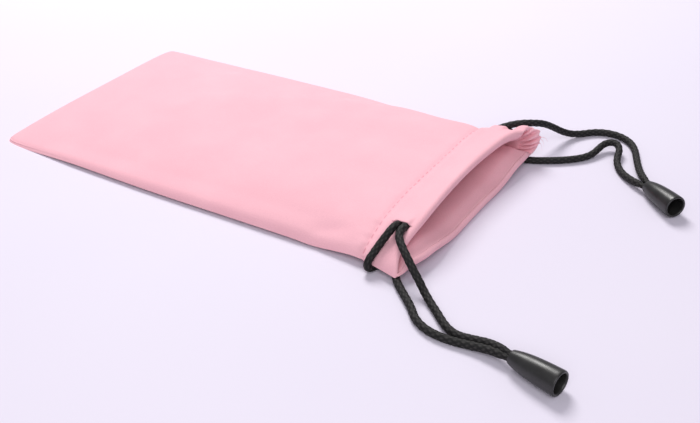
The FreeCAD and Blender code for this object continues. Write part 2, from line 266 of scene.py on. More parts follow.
def microfibre():
    """Brushed pink microfibre: a fine weave under a short nap, with faint brush marks."""
    material, nodes, links, shader = new_material("microfibre")
    where = nodes.new("ShaderNodeTexCoord").outputs["Object"]
    nap = add_noise(nodes, links, where, 2600, 3.0)
    brushed = add_noise(nodes, links, where, 85, 3.0)
    broad = add_noise(nodes, links, where, 22, 2.0)
    fleck = add_ramp(nodes, links, nap, [(0.3, (0.88, 0.86, 0.87)), (0.7, (1.0, 1.0, 1.0))])
    marks = add_ramp(nodes, links, brushed, [(0.35, (0.875, 0.475, 0.535)), (0.68, (0.895, 0.495, 0.552))])
    depth = add_ramp(nodes, links, broad, [(0.3, (0.97, 0.96, 0.965)), (0.7, (1.0, 1.0, 1.0))])
    colour = add_mix(nodes, links, "MULTIPLY", 1.0, marks, depth)
    links.new(add_mix(nodes, links, "MULTIPLY", 0.5, colour, fleck), shader.inputs["Base Color"])
    threads = []
    for direction in ("X", "Y"):
        weave = nodes.new("ShaderNodeTexWave")
        weave.bands_direction = direction
        weave.inputs["Scale"].default_value = 620
        weave.inputs["Distortion"].default_value = 1.2
        weave.inputs["Detail Scale"].default_value = 3.0
        links.new(where, weave.inputs["Vector"])
        threads.append(weave.outputs["Fac"])
    woven = add_sum(nodes, links, threads[0], threads[1], 1.0)
    fine = add_bump(nodes, links, add_sum(nodes, links, nap, woven, 0.22), 0.30, 0.00012)
    links.new(add_bump(nodes, links, brushed, 0.22, 0.0004, fine), shader.inputs["Normal"])
    shader.inputs["Roughness"].default_value = 0.86
    shader.inputs["Specular IOR Level"].default_value = 0.25
    shader.inputs["Sheen Weight"].default_value = 0.10
    shader.inputs["Sheen Roughness"].default_value = 0.45
    shader.inputs["Sheen Tint"].default_value = (1.0, 0.86, 0.89, 1.0)
    return material


def sewing_thread():
    material, nodes, links, shader = new_material("sewing_thread")
    where = nodes.new("ShaderNodeTexCoord").outputs["Object"]
    fibre = add_noise(nodes, links, where, 5200, 2.0)
    colour = add_ramp(nodes, links, fibre, [(0.3, (0.70, 0.34, 0.40)), (0.7, (0.84, 0.44, 0.50))])
    links.new(colour, shader.inputs["Base Color"])
    links.new(add_bump(nodes, links, fibre, 0.4, 0.0001), shader.inputs["Normal"])
    shader.inputs["Roughness"].default_value = 0.7
    return material


def braid_material():
    """Black braid, fine fibres; painted shade between its yarns, painted highlight greys their tops."""
    material, nodes, links, shader = new_material("black_braid")
    where = nodes.new("ShaderNodeTexCoord").outputs["Object"]
    height = nodes.new("ShaderNodeAttribute")
    height.attribute_name = "braid_height"
    fibre = add_noise(nodes, links, where, 4200, 3.0)
    worn = add_noise(nodes, links, where, 420, 2.0)
    # Painted shade in the grooves between the yarns and a painted highlight on their tops, set by braid
    # height
    painted_yarn_shading = add_ramp(nodes, links, height.outputs["Fac"],
                    [(0.30, (0.0012, 0.0012, 0.0012)), (0.75, (0.006, 0.0058, 0.0055)),
                     (1.0, (0.030, 0.028, 0.026))])
    lint = add_ramp(nodes, links, add_sum(nodes, links, fibre, worn, 0.6),
                    [(0.45, (0.55, 0.55, 0.55)), (1.0, (1.5, 1.5, 1.52))])
    links.new(add_mix(nodes, links, "MULTIPLY", 1.0, painted_yarn_shading, lint), shader.inputs["Base Color"])
    links.new(add_bump(nodes, links, fibre, 0.45, 0.00012), shader.inputs["Normal"])
    shader.inputs["Roughness"].default_value = 0.68
    shader.inputs["Specular IOR Level"].default_value = 0.35
    return material


def moulded_plastic():
    """Charcoal satin plastic with a faint moulding texture and handling marks."""
    material, nodes, links, shader = new_material("charcoal_plastic")
    where = nodes.new("ShaderNodeTexCoord").outputs["Object"]
    grain = add_noise(nodes, links, where, 2400, 2.0)
    cloudy = add_noise(nodes, links, where, 240, 3.0)
    colour = add_ramp(nodes, links, cloudy, [(0.3, (0.013, 0.013, 0.0125)), (0.7, (0.020, 0.020, 0.019))])
    links.new(colour, shader.inputs["Base Color"])
    rough = add_ramp(nodes, links, cloudy, [(0.3, (0.30, 0.30, 0.30)), (0.75, (0.42, 0.42, 0.42))])
    links.new(rough, shader.inputs["Roughness"])
    links.new(add_bump(nodes, links, grain, 0.12, 0.00008), shader.inputs["Normal"])
    shader.inputs["Specular IOR Level"].default_value = 0.5
    return material


def floor_material():
    material, nodes, links, shader = new_material("pale_table")
    where = nodes.new("ShaderNodeTexCoord").outputs["Object"]
    soft = add_noise(nodes, links, where, 5.0, 2.0)
    colour = add_ramp(nodes, links, soft, [(0.3, (0.708, 0.668, 0.770)), (0.7, (0.732, 0.694, 0.788))])
    links.new(colour, shader.inputs["Base Color"])
    shader.inputs["Roughness"].default_value = 0.75
    shader.inputs["Specular IOR Level"].default_value = 0.2
    return material


CLOTH_MATERIAL = microfibre()
THREAD_MATERIAL = sewing_thread()
CORD_MATERIAL = braid_material()
PLASTIC = moulded_plastic()


# ---------------------------------------------------------------- camera
CAMERA_TARGET = Vector((0.04773, -0.01989, 0.0))
CAMERA_AZIMUTH = math.radians(32.1)
CAMERA_ELEVATION = math.radians(33.2)
CAMERA_DISTANCE = 0.331


def make_camera():
    data = bpy.data.cameras.new("camera")
    data.sensor_width = 36.0
    data.lens = 51.43
    data.clip_start = 0.01
    camera = bpy.data.objects.new("camera", data)
    bpy.context.collection.objects.link(camera)
    level = math.cos(CAMERA_ELEVATION)
    back = Vector((math.sin(CAMERA_AZIMUTH) * level, -math.cos(CAMERA_AZIMUTH) * level,
                   math.sin(CAMERA_ELEVATION)))
    camera.location = CAMERA_TARGET + back * CAMERA_DISTANCE
    camera.rotation_euler = (-back).to_track_quat("-Z", "Y").to_euler()
    bpy.context.scene.camera = camera


make_camera()


# ---------------------------------------------------------------- cords
BRAID_YARNS = 6            # yarns each way round the cord
BRAID_PITCH = 0.00125      # from one yarn to the next, along the cord
BRAID_RELIEF = 0.00022
TUBE_SIDES = 36
TUBE_STEP = 0.00021


def centreline(points):
    """Points along the smooth NURBS line of a route, as Blender evaluates it."""
    data = bpy.data.curves.new("route", "CURVE")
    data.dimensions = "3D"
    data.resolution_u = 16
    line = data.splines.new("NURBS")
    line.points.add(len(points) - 1)
    for point, place in zip(line.points, points):
        point.co = (*place, 1.0)
    line.order_u = 3
    line.use_endpoint_u = True
    route = bpy.data.objects.new("route", data)
    bpy.context.collection.objects.link(route)
    mesh = bpy.data.meshes.new_from_object(route)
    found = np.array([v.co for v in mesh.vertices])
    bpy.data.objects.remove(route)
    bpy.data.meshes.remove(mesh)
    return found


def stepped(line, step):
    """The same line in equal steps."""
    lengths = np.concatenate([[0.0], np.cumsum(np.linalg.norm(np.diff(line, axis=0), axis=1))])
    places = np.linspace(0.0, lengths[-1], max(3, int(lengths[-1] / step)))
    return np.stack([np.interp(places, lengths, line[:, k]) for k in range(3)], axis=1), places


def braid_height(around, along):
    """Height of a two-way braid, 0 to 1. around is in turns, along in metres."""
    a = BRAID_YARNS * around + along / BRAID_PITCH / 2
    b = BRAID_YARNS * around - along / BRAID_PITCH / 2
    across_a = 1 - (2 * (a % 1.0) - 1) ** 2
    across_b = 1 - (2 * (b % 1.0) - 1) ** 2
    a_on_top = (np.floor(a) + np.floor(b)) % 2 < 1
    a_over = across_a ** 0.6 * (0.55 + 0.45 * across_b)
    b_over = across_b ** 0.6 * (0.55 + 0.45 * across_a)
    return np.where(a_on_top, a_over, b_over)


def braided_tube(name, line, radius=CORD / 2, squeeze=None, round_start=True, round_end=True):
    """A closed braided tube along a line. squeeze gives a share of the radius at each place along it."""
    line, places = stepped(line, TUBE_STEP)
    tangents = np.gradient(line, axis=0)
    tangents /= np.linalg.norm(tangents, axis=1)[:, None]
    side = np.cross(tangents[0], (0.0, 0.0, 1.0))
    side /= np.linalg.norm(side)
    around = np.arange(TUBE_SIDES) / TUBE_SIDES
    shares = np.ones(len(line)) if squeeze is None else squeeze(places, places[-1])
    rings, heights = [], []
    for centre, tangent, place, share in zip(line, tangents, places, shares):
        side = side - tangent * np.dot(side, tangent)
        side /= np.linalg.norm(side)
        up = np.cross(tangent, side)
        height = braid_height(around, np.full(TUBE_SIDES, place))
        from_end = min(place if round_start else 1.0, places[-1] - place if round_end else 1.0)
        rounding = math.sqrt(max(0.0, 1 - max(0.0, 1 - from_end / (0.5 * radius)) ** 2))
        r = (radius * share + (height - 0.62) * BRAID_RELIEF) * max(0.25, rounding)
        angle = 2 * math.pi * around
        rings.append(centre + r[:, None] * (np.cos(angle)[:, None] * side + np.sin(angle)[:, None] * up))
        heights.append(height)
    n = len(rings)
    vertices = np.concatenate([*rings, rings[0], rings[-1], line[:1], line[-1:]])
    faces = []
    for i in range(n - 1):
        a, b = i * TUBE_SIDES, (i + 1) * TUBE_SIDES
        for j in range(TUBE_SIDES):
            k = (j + 1) % TUBE_SIDES
            faces.append((a + j, a + k, b + k, b + j))
    for j in range(TUBE_SIDES):
        k = (j + 1) % TUBE_SIDES
        faces.append(((n + 2) * TUBE_SIDES, n * TUBE_SIDES + k, n * TUBE_SIDES + j))
        faces.append(((n + 2) * TUBE_SIDES + 1, (n + 1) * TUBE_SIDES + j, (n + 1) * TUBE_SIDES + k))
    obj = add_mesh(name, vertices, faces, CORD_MATERIAL)
    attribute = obj.data.attributes.new("braid_height", "FLOAT", "POINT")
    values = np.concatenate([*heights, heights[0], heights[-1], [0.0, 0.0]])
    attribute.data.foreach_set("value", values.astype(np.float32))
    return obj


def squeezed_at_end(places, length):
    """The cord is pressed thinner where it enters the neck of its cord end."""
    return 1 - 0.27 * smoothstep(length - 0.0125, length - 0.0090, places)


# ---------------------------------------------------------------- cord ends
def bell_axis(place):
    _, heading, tilt = place
    level = math.cos(tilt)
    return Vector((math.cos(heading) * level, math.sin(heading) * level, math.sin(tilt)))


def on_bell_axis(place, s):
    return place[0] - bell_axis(place) * (BELL_LENGTH - s)


def lathe(name, profile, bell_place, material, sides=72):
    """Turn (distance from the neck, radius) points, a closed outline, about the bell's axis."""
    turn = bell_axis(bell_place).to_track_quat("X", "Z").to_matrix().to_4x4()
    place = Matrix.Translation(on_bell_axis(bell_place, 0.0)) @ turn
    vertices, faces = [], []
    for i in range(sides):
        angle = 2 * math.pi * i / sides
        for s, r in profile:
            vertices.append(place @ Vector((s, r * math.cos(angle), r * math.sin(angle))))
    n = len(profile)
    for i in range(sides):
        k = (i + 1) % sides
        for j in range(n):
            m = (j + 1) % n
            faces.append((i * n + j, k * n + j, k * n + m, i * n + m))
    return add_mesh(name, vertices, faces, material)


def smooth_profile(points, steps=6):
    """Round the corners of an open outline with a quadratic spline through its middles."""
    points = [np.array(p) for p in points]
    out = [points[0]]
    for a, b, c in zip(points, points[1:], points[2:]):
        first = (a + b) / 2 if a is not points[0] else points[0]
        last = (b + c) / 2 if c is not points[-1] else points[-1]
        for t in np.linspace(0, 1, steps + 1)[1:]:
            out.append((1 - t) ** 2 * first + 2 * t * (1 - t) * b + t * t * last)
    return [tuple(p) for p in out]


def make_bell(node, place):
    outside = smooth_profile([
        (0.0002, 0.00178), (-0.0001, 0.00185), (0.0000, 0.0021), (0.0010, 0.00238), (0.0030, 0.00286),
        (0.0060, 0.00331), (0.0100, 0.00363), (0.0142, 0.00379), (0.0151, 0.0038), (0.0156, 0.00372),
        (0.01575, 0.00345), (0.0156, 0.00300), (0.0147, 0.00285), (0.0100, 0.00255), (0.0062, 0.00225),
        (0.0050, 0.00205), (0.0046, 0.00178), (0.0020, 0.00176),
    ])
    bell = lathe(node + "_moulding", outside, place, PLASTIC)
    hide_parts(node)
    return bell


def make_knot(node, place):
    """The tied lump of the two cord ends: a trefoil of thin braid, seated in the bell."""
    turn = bell_axis(place).to_track_quat("Z", "X").to_matrix()
    centre = on_bell_axis(place, KNOT_AT + 0.0006)
    t = np.linspace(0.0, 2 * math.pi, 90)
    size = 0.00052
    loops = np.stack([(np.sin(t) + 1.55 * np.sin(2 * t)) * size, (np.cos(t) - 1.55 * np.cos(2 * t)) * size,
                      -np.sin(3 * t) * size * 1.25], axis=1)
    line = np.array([centre + turn @ Vector(p) for p in loops])
    knot = braided_tube(node + "_tied", line, radius=0.00072)
    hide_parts(node)
    return knot


near_bell = make_bell("near_cord_end", NEAR_BELL)
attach(near_bell, "near_bell")
far_bell = make_bell("far_cord_end", FAR_BELL)
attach(far_bell, "far_bell")
near_knot = make_knot("near_knot", NEAR_BELL)
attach(near_knot, "near_pull")
far_knot = make_knot("far_knot", FAR_BELL)
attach(far_knot, "far_pull")


# ---------------------------------------------------------------- free strands
def free_strand(name, route, stands_for, far_end, squeeze=None, joins_at_start=False):
    line = centreline(route)
    if far_end == "object":
        strand = braided_tube(name, line[::-1], round_start=False)
    else:
        strand = braided_tube(name, line, squeeze=squeeze, round_start=not joins_at_start)
    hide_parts(*stands_for)
    return strand


near_lead = free_strand("near_upper_strand_lead", NEAR_UPPER_LEAD, ["near_upper_strand"], "object")
follow_mouth(near_lead)
far_lead = free_strand("far_upper_strand_lead", FAR_UPPER_LEAD, ["far_upper_strand"], "object")
follow_mouth(far_lead)
near_upper = free_strand("near_upper_strand_end", NEAR_UPPER, ["near_cord_pair"], "knot",
                         squeezed_at_end, joins_at_start=True)
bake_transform(near_upper)
near_lower = free_strand("near_lower_strand_whole", NEAR_LOWER, ["near_lower_strand"], "knot",
                         squeezed_at_end)
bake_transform(near_lower)
far_upper = free_strand("far_upper_strand_end", FAR_UPPER, ["far_cord_pair"], "knot",
                        squeezed_at_end, joins_at_start=True)
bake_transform(far_upper)
far_lower = free_strand("far_lower_strand_whole", FAR_LOWER, ["far_lower_strand"], "knot",
                        squeezed_at_end)
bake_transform(far_lower)

for turn_name, turn_route in (("far_cord_turn", FAR_CORD_TURN), ("near_cord_turn", NEAR_CORD_TURN)):
    turn = braided_tube(turn_name + "_braid", centreline(turn_route))
    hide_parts(turn_name)
    follow_mouth(turn)


# ---------------------------------------------------------------- the cloth's shape
def outline_at(x):
    """Near edge, far edge and crown height of the upper side."""
    return [through(STATIONS[:, 0], STATIONS[:, k], x) for k in (1, 2, 3)]


def lift_at(x, y):
    """How far the back panel is off the table: its sides lie on the cords near the mouth."""
    along = smoothstep(X_FLAT_END, X_LIFTED, x)
    across = np.where(y < 0, smoothstep(-0.013, -0.031, y), smoothstep(0.014, 0.032, y))
    return LIFT * along * across


def edge_curl(x, s):
    """The sewn edges curl up a little off the table along the pouch's body."""
    along = smoothstep(X_CLOSED, -0.045, x) * smoothstep(0.062, 0.040, x)
    return np.where(s < 0, 0.0015, 0.0009) * along * smoothstep(0.80, 1.0, np.abs(s))


def seam_at(x):
    """Height of the upper side's edge."""
    return CLOTH + LIFT * smoothstep(X_FLAT_END, X_LIFTED, x) + 0.00003


def arch_share(s, x):
    """Height of the arch across the width, from 0 at an edge (s = -1 or 1) to 1 at the crown."""
    near = (1 - np.abs(np.clip(s, -1, 0)) ** 3) ** 0.835
    far = (1 - np.clip(s, 0, 1) ** 8) ** 0.7
    puffed = smoothstep(0.068, 0.080, x) * 0.76 * (1 - np.clip(s, 0, 1) ** 60) ** 0.5
    far = (far ** 16 + puffed ** 16) ** (1 / 16)
    return np.where(s < 0, near, far)


def skewed(x, y):
    """Across the mouth, x grows with y."""
    return x + MOUTH_SKEW * np.clip((x - X_STITCH) / (X_MOUTH - X_STITCH), 0, 1.3) * y


def arch(x, s, depth=0.0):
    """Points of the upper side at x and share s of the half width, at a depth under its outer face."""
    near, far, crown = outline_at(x)
    seam = seam_at(x)
    y = s * np.where(s < 0, -near - depth, far - depth)
    closed = np.clip((x - X_CLOSED) / 0.0022, 0, 1)
    blunt = np.sqrt(1 - (1 - closed) ** 2)
    z = seam + (crown - depth - seam) * arch_share(s, x) * (0.12 + 0.88 * blunt) + edge_curl(x, s)
    return np.stack([skewed(x, y), y, z + 0 * x], axis=-1)


def ridge(x, y, start, end, width, height):
    """A soft fold in the cloth along a line, fading at its ends."""
    (ax, ay), (bx, by) = start, end
    length = math.hypot(bx - ax, by - ay)
    ux, uy = (bx - ax) / length, (by - ay) / length
    along = ((x - ax) * ux + (y - ay) * uy) / length
    across = (y - ay) * ux - (x - ax) * uy
    ends = smoothstep(-0.15, 0.3, along) * smoothstep(1.15, 0.7, along)
    return height * np.exp(-(across / width) ** 2) * ends


# Soft folds and dents: start, end, width, height
SOFT_FOLDS = [
    ((-0.060, -0.010), (0.010, 0.030), 0.0060, 0.00060),
    ((-0.040, 0.010), (0.030, 0.036), 0.0050, 0.00045),
    ((-0.070, 0.026), (-0.040, 0.043), 0.0060, -0.00070),
    ((0.008, 0.034), (0.032, 0.043), 0.0040, -0.00080),
    ((0.020, -0.028), (0.060, -0.034), 0.0050, 0.00030),
    ((0.046, -0.041), (0.058, -0.037), 0.0026, -0.00055),
    ((0.030, 0.020), (0.064, 0.034), 0.0060, 0.00045),
    ((0.010, -0.010), (0.060, 0.004), 0.0090, 0.00040),
]
SLIT_X = (0.0696, 0.0779)


def relief(x, y):
    """Height of the upper side's wrinkles, folds and stitch groove over its arch."""
    edge = smoothstep(-0.047, -0.038, y) * smoothstep(0.046, 0.038, y) * smoothstep(X_CLOSED, -0.078, x)
    h = 0.00026 * cloud(x / 0.055, y / 0.026, 3.1) * edge
    h += 0.00006 * cloud(x / 0.013, y / 0.010, 7.7) * edge
    for start, end, width, height in SOFT_FOLDS:
        h += ridge(x, y, start, end, width, height) * (0.3 + 0.7 * edge)
    from_stitch = x - X_STITCH
    pucker = cloud(x / 0.013, y / 0.0029, 1.7)
    h += 0.00034 * pucker * np.exp(-(from_stitch / 0.0040) ** 2)
    h -= 0.00042 * np.exp(-(from_stitch / 0.0008) ** 2)
    h += 0.00038 * np.exp(-((from_stitch - 0.0024) / 0.0016) ** 2)
    h += 0.00022 * np.exp(-((from_stitch + 0.0024) / 0.0018) ** 2)
    h -= 0.0011 * np.exp(-((from_stitch + 0.0006) / 0.0034) ** 2) * smoothstep(0.026, 0.041, y)
    return h


def steps(*parts):
    return np.array(sorted(set(round(float(v), 5) for part in parts for v in part)))


# Columns of the sheets, as shares of the half width, and the slits' places among them
NEAR_SLIT = -0.70
FAR_SLIT = 0.872
NEAR_SIDE_STEPS = np.array([-0.045, -0.032, -0.022, -0.013, -0.006, 0, 0.006, 0.013, 0.022, 0.032, 0.045])
SHARES = steps(np.sin(np.linspace(-math.pi / 2, math.pi / 2, 97)), NEAR_SLIT + NEAR_SIDE_STEPS,
               FAR_SLIT + 0.7 * NEAR_SIDE_STEPS, -1 + np.array([0.02, 0.035, 0.05, 0.065, 0.08, 0.1, 0.12]))
OUTER_X = steps(X_CLOSED + np.array([0.0, 0.00008, 0.00025, 0.0005, 0.0009, 0.0014, 0.0020, 0.0028]),
                np.arange(-0.0820, 0.0630, 0.0015), np.arange(0.0636, 0.0816, 0.00042))
FOLD_ANGLES = np.linspace(0.0, math.pi, 13)


def fold_radius(s):
    """The mouth fold is rounder in the middle and pressed flat at the side seams."""
    return FOLD_R * (1.12 - 0.62 * smoothstep(0.84, 0.99, np.abs(s)))


def mouth_shift(s):
    """How far the mouth's upper edge stands back from, or out of, its straight line."""
    return through([-1.0, -0.88, -0.6, 0.2, 0.6, 0.9, 1.0],
                   [-0.0004, -0.0036, -0.0028, -0.0043, -0.0034, -0.0012, 0.0006], s)


def back_mouth_x(y):
    """Where the lower lip of the mouth runs: its x at a place y across the pouch."""
    return through([-0.0469, -0.0424, -0.0387, -0.0321, -0.0240, 0.0, 0.0345, 0.0415, 0.0452],
                   [0.0813, 0.0824, 0.0833, 0.0848, 0.0853, 0.0850, 0.0860, 0.0858, 0.0850], y)


def front_rows():
    """Rows of the folded sheet: outer face, round the mouth fold, and back as the hem."""
    s = SHARES
    toward_mouth = mouth_shift(s)
    radius = fold_radius(s)
    start = OUTER_X[-1]
    rows = [arch(x + toward_mouth * smoothstep(X_STITCH, start, x), s) for x in OUTER_X]
    for angle in FOLD_ANGLES[1:]:
        rows.append(arch(start + toward_mouth + radius * math.sin(angle), s, radius * (1 - math.cos(angle))))
    fold_end = len(rows)
    for x in np.linspace(start - 0.0004, X_STITCH + 0.0003, 24):
        moved = x + toward_mouth * smoothstep(X_STITCH, start, x)
        u = (x - X_STITCH) / (start - X_STITCH)
        depth = 0.0006 + (CHANNEL_DEPTH - 0.0006) * smoothstep(0.0, 0.25, u)
        depth = depth + (2 * radius - depth) * smoothstep(0.75, 1.0, u)
        rows.append(arch(moved, s, depth))
    return np.array(rows), fold_end


def grid_normals(points):
    normals = np.cross(np.gradient(points, axis=0), np.gradient(points, axis=1))
    return normals / np.maximum(np.linalg.norm(normals, axis=2, keepdims=True), 1e-12)


def slit_opening(x):
    """How open a slit is along its length: open over the two cords, then a thin crease."""
    gape = smoothstep(0.0701, 0.0719, x) * smoothstep(0.0773, 0.0757, x)
    return np.maximum(gape, 0.10 * smoothstep(SLIT_X[0], 0.0708, x) * smoothstep(SLIT_X[1], 0.0771, x))


def open_slit(points, column, spread, rise, drop):
    """Part the cloth along a column. Returns the other lip's points of that column."""
    side = 1 if column > points.shape[1] // 2 else -1
    middle = points[:, column].copy()
    gape = slit_opening(middle[:, 0])
    distance = points[:, :, 1] - middle[:, None, 1]
    inner = distance * side <= 0
    near = np.exp(-(distance / np.where(inner, 0.0034, 0.0042)) ** 2) * gape[:, None]
    points[:, :, 1] += np.where(inner, -side * spread, side * spread) * near
    points[:, :, 2] += np.where(inner, rise, -drop) * near
    return middle + np.stack([0 * gape, side * spread * gape, -drop * gape], axis=1)


def sheet_faces(rows, columns):
    faces = []
    for i in range(rows - 1):
        for j in range(columns - 1):
            a = i * columns + j
            faces.append((a, a + columns, a + columns + 1, a + 1))
    return faces


def slit_sheet(rows, cuts):
    """Vertices and faces of a sheet of rows with open slits: cuts holds (column, spread, rise, drop)."""
    count, columns = rows.shape[:2]
    faces = sheet_faces(count, columns)
    extra = []
    for column, spread, rise, drop in cuts:
        side = 1 if column > columns // 2 else -1
        other_lip = open_slit(rows, column, spread, rise, drop)
        copies = {}
        for i in range(count):
            if SLIT_X[0] < rows[i, column, 0] < SLIT_X[1]:
                copies[i * columns + column] = count * columns + len(extra)
                extra.append(other_lip[i])
        outside = column if side > 0 else column - 1
        for f, face in enumerate(faces):
            if face[0] % columns == outside:
                faces[f] = tuple(copies.get(v, v) for v in face)
    return list(rows.reshape(-1, 3)) + extra, faces


def cloth_piece(name, vertices, faces, node):
    piece = add_mesh(name, vertices, faces, CLOTH_MATERIAL)
    thicken(piece, CLOTH)
    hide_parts(node)
    return piece


def make_front():
    rows, fold_end = front_rows()
    outer = len(OUTER_X)
    normals = grid_normals(rows)
    height = relief(rows[:outer, :, 0], rows[:outer, :, 1])
    height *= 0.30 + 0.70 * smoothstep(0.0815, 0.0785, rows[:outer, :, 0])
    rows[:outer] += normals[:outer] * height[:, :, None]
    over_seam = 0.0009 * np.clip((np.abs(SHARES) - 0.94) / 0.06, 0, 1) ** 2
    rows[:outer, :, 2] -= over_seam
    rows[:, :, 2] += 0.0007 * (smoothstep(0.885, 0.93, SHARES) * smoothstep(1.0, 0.975, SHARES)
                               * smoothstep(0.0745, 0.0790, rows[:, :, 0]))
    for row, angle in zip(rows[outer:], FOLD_ANGLES[1:]):
        row[:, 2] -= over_seam * math.cos(angle / 2) ** 2
    near_column, far_column = [int(np.argmin(np.abs(SHARES - cut))) for cut in (NEAR_SLIT, FAR_SLIT)]
    cuts = [(near_column, -0.0002, 0.0011, 0.0010), (far_column, 0.0004, 0.0016, 0.0003)]
    outside = rows[:outer].copy()
    vertices, faces = slit_sheet(outside, cuts)
    fold = rows[outer - 1:fold_end]
    first = len(vertices)
    columns = len(SHARES)
    vertices += list(fold[1:].reshape(-1, 3))
    last_row = (outer - 1) * columns
    for a, b, c, d in sheet_faces(len(fold), columns):
        faces.append(tuple(last_row + v if v < columns else first + v - columns for v in (a, b, c, d)))
    panel = cloth_piece("front_panel_cloth", vertices, faces, "front_panel")
    hem_rows = rows[fold_end - 1:]
    hem_faces = sheet_faces(*hem_rows.shape[:2])
    hem = cloth_piece("front_hem_cloth", hem_rows.reshape(-1, 3), hem_faces, "front_hem")
    return panel, hem


def hem_rise(rise, s):
    """Height of the back hem over its panel: it lies flat towards the side seams."""
    return 0.0006 + (rise - 0.0006) * (1 - smoothstep(0.86, 0.97, np.abs(s)))


def back_sheet(x, s, height, inset=0.0009):
    """A row of the back panel at x, at a height over its underside."""
    near, far, _ = outline_at(np.minimum(x, X_MOUTH))
    y = s * np.where(s < 0, -near - inset, far - inset)
    out = (back_mouth_x(y) - X_BACK_MOUTH) * smoothstep(X_STITCH, X_MOUTH, x)
    wave = 0.00022 * cloud(x / 0.030 + 0 * s, y / 0.017, 5.5) * smoothstep(0.05, 0.075, x)
    z = np.maximum(lift_at(x, y) + wave * (np.abs(y) < 0.044), 0) + edge_curl(x, s) + height
    return np.stack([x + out, y, z + 0 * y], axis=-1)


def make_back():
    s = SHARES
    flat_x = steps(X_CLOSED + np.array([0.0003, 0.0008, 0.0018, 0.0028]), np.arange(-0.0820, 0.0690, 0.0015),
                   np.arange(0.0690, 0.0833, 0.0005))
    rows = [back_sheet(np.full(len(s), x), s, 0.0) for x in flat_x]
    start = flat_x[-1]
    for angle in FOLD_ANGLES[1:]:
        x = np.full(len(s), start + BACK_FOLD_R * math.sin(angle))
        rows.append(back_sheet(x, s, hem_rise(2 * BACK_FOLD_R, s) * (1 - math.cos(angle)) / 2))
    fold_end = len(rows)
    for x in np.linspace(start - 0.0006, X_STITCH + 0.0003, 26):
        u = (x - X_STITCH) / (start - X_STITCH)
        rise = 0.0011 + 0.0025 * smoothstep(0.0, 0.30, u)
        rise = rise + (2 * BACK_FOLD_R - rise) * smoothstep(0.72, 1.0, u)
        inset = 0.0009 + 0.0012 * smoothstep(1.0, 0.8, u)
        rows.append(back_sheet(np.full(len(s), x), s, hem_rise(rise, s), inset))
    flipped = np.array(rows)[:, ::-1]
    panel_rows, hem_rows = flipped[:fold_end], flipped[fold_end - 1:]
    pieces = []
    for name, node, part in (("back_panel_cloth", "back_panel", panel_rows),
                             ("back_hem_cloth", "back_hem", hem_rows)):
        piece = cloth_piece(name, part.reshape(-1, 3), sheet_faces(*part.shape[:2]), node)
        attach(piece, "pouch")
        pieces.append(piece)
    return pieces


panel, front_hem = make_front()
follow_mouth(panel)
follow_mouth(front_hem)
back_panel, back_hem = make_back()


# ---------------------------------------------------------------- stitching
def stitches(name, points, node, stitch=0.0021, gap=0.0006, radius=0.00013):
    """A run of machine stitches along a line of surface points, each one dipping in at its ends."""
    line, places = stepped(np.array(points), 0.0001)
    vertices, faces = [], []
    sides, count = 8, 9
    place = 0.0
    while place + stitch < places[-1]:
        span = np.linspace(place, place + stitch, count)
        centre = np.stack([np.interp(span, places, line[:, k]) for k in range(3)], axis=1)
        forward = centre[-1] - centre[0]
        side = np.cross(forward, (0, 0, 1.0))
        side /= np.linalg.norm(side)
        up = np.cross(side, forward) / np.linalg.norm(forward)
        first = len(vertices)
        for i, c in enumerate(centre):
            dip = (2 * i / (count - 1) - 1) ** 4
            r = radius * (1 - 0.35 * dip)
            sunk = c - up * radius * 1.6 * dip
            for j in range(sides):
                angle = 2 * math.pi * j / sides
                vertices.append(sunk + r * (math.cos(angle) * side + math.sin(angle) * up))
        for i in range(count - 1):
            for j in range(sides):
                k = (j + 1) % sides
                a, b = first + i * sides, first + (i + 1) * sides
                faces.append((a + j, b + j, b + k, a + k))
        faces.append(tuple(first + j for j in range(sides)))
        faces.append(tuple(first + (count - 1) * sides + j for j in reversed(range(sides))))
        place += stitch + gap
    run = add_mesh(name, vertices, faces, THREAD_MATERIAL)
    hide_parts(node)
    return run


def front_stitch_line():
    s = np.linspace(-0.975, 0.975, 200)
    points = arch(np.full(len(s), X_STITCH), s)
    points[:, 2] += relief(points[:, 0], points[:, 1]) + 0.00006
    return points


def side_stitch_line(side):
    x = np.linspace(-0.081, 0.064, 120)
    s = np.full(len(x), side * 0.915)
    return np.array([back_sheet(np.array([a]), np.array([b]), CLOTH + 0.00008)[0] for a, b in zip(x, s)])


back_s = np.linspace(-0.86, 0.86, 160)
closed_s = np.linspace(-0.90, 0.90, 120)
back_line = back_sheet(np.full(len(back_s), X_STITCH + 0.0005), back_s, 0.00125)
closed_line = back_sheet(np.full(len(closed_s), -0.0835), closed_s, CLOTH + 0.00008)
follow_mouth(stitches("front_hem_stitches", front_stitch_line(), "front_hem_stitching"))
for name, points, node in (
        ("back_hem_stitches", back_line, "back_hem_stitching"),
        ("near_side_stitches", side_stitch_line(-1), "near_side_stitching"),
        ("far_side_stitches", side_stitch_line(1), "far_side_stitching"),
        ("closed_end_stitches", closed_line, "closed_end_stitching")):
    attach(stitches(name, points, node), "pouch")


# ---------------------------------------------------------------- the gathered far corner
# The pleated edge at the far end of the mouth, from under the front lip down to the back lip:
# share of the way down, x, y, z
PLEAT_EDGE = np.array([
    (0.00, 0.0824, 0.0430, 0.0127),
    (0.12, 0.0852, 0.0440, 0.0126),
    (0.25, 0.0866, 0.0441, 0.0112),
    (0.42, 0.0872, 0.0441, 0.0091),
    (0.60, 0.0869, 0.0440, 0.0071),
    (0.80, 0.0862, 0.0434, 0.0053),
    (1.00, 0.0854, 0.0422, 0.0036),
])
PLEATS = 3.7
PLEATED_SHARE = 0.70


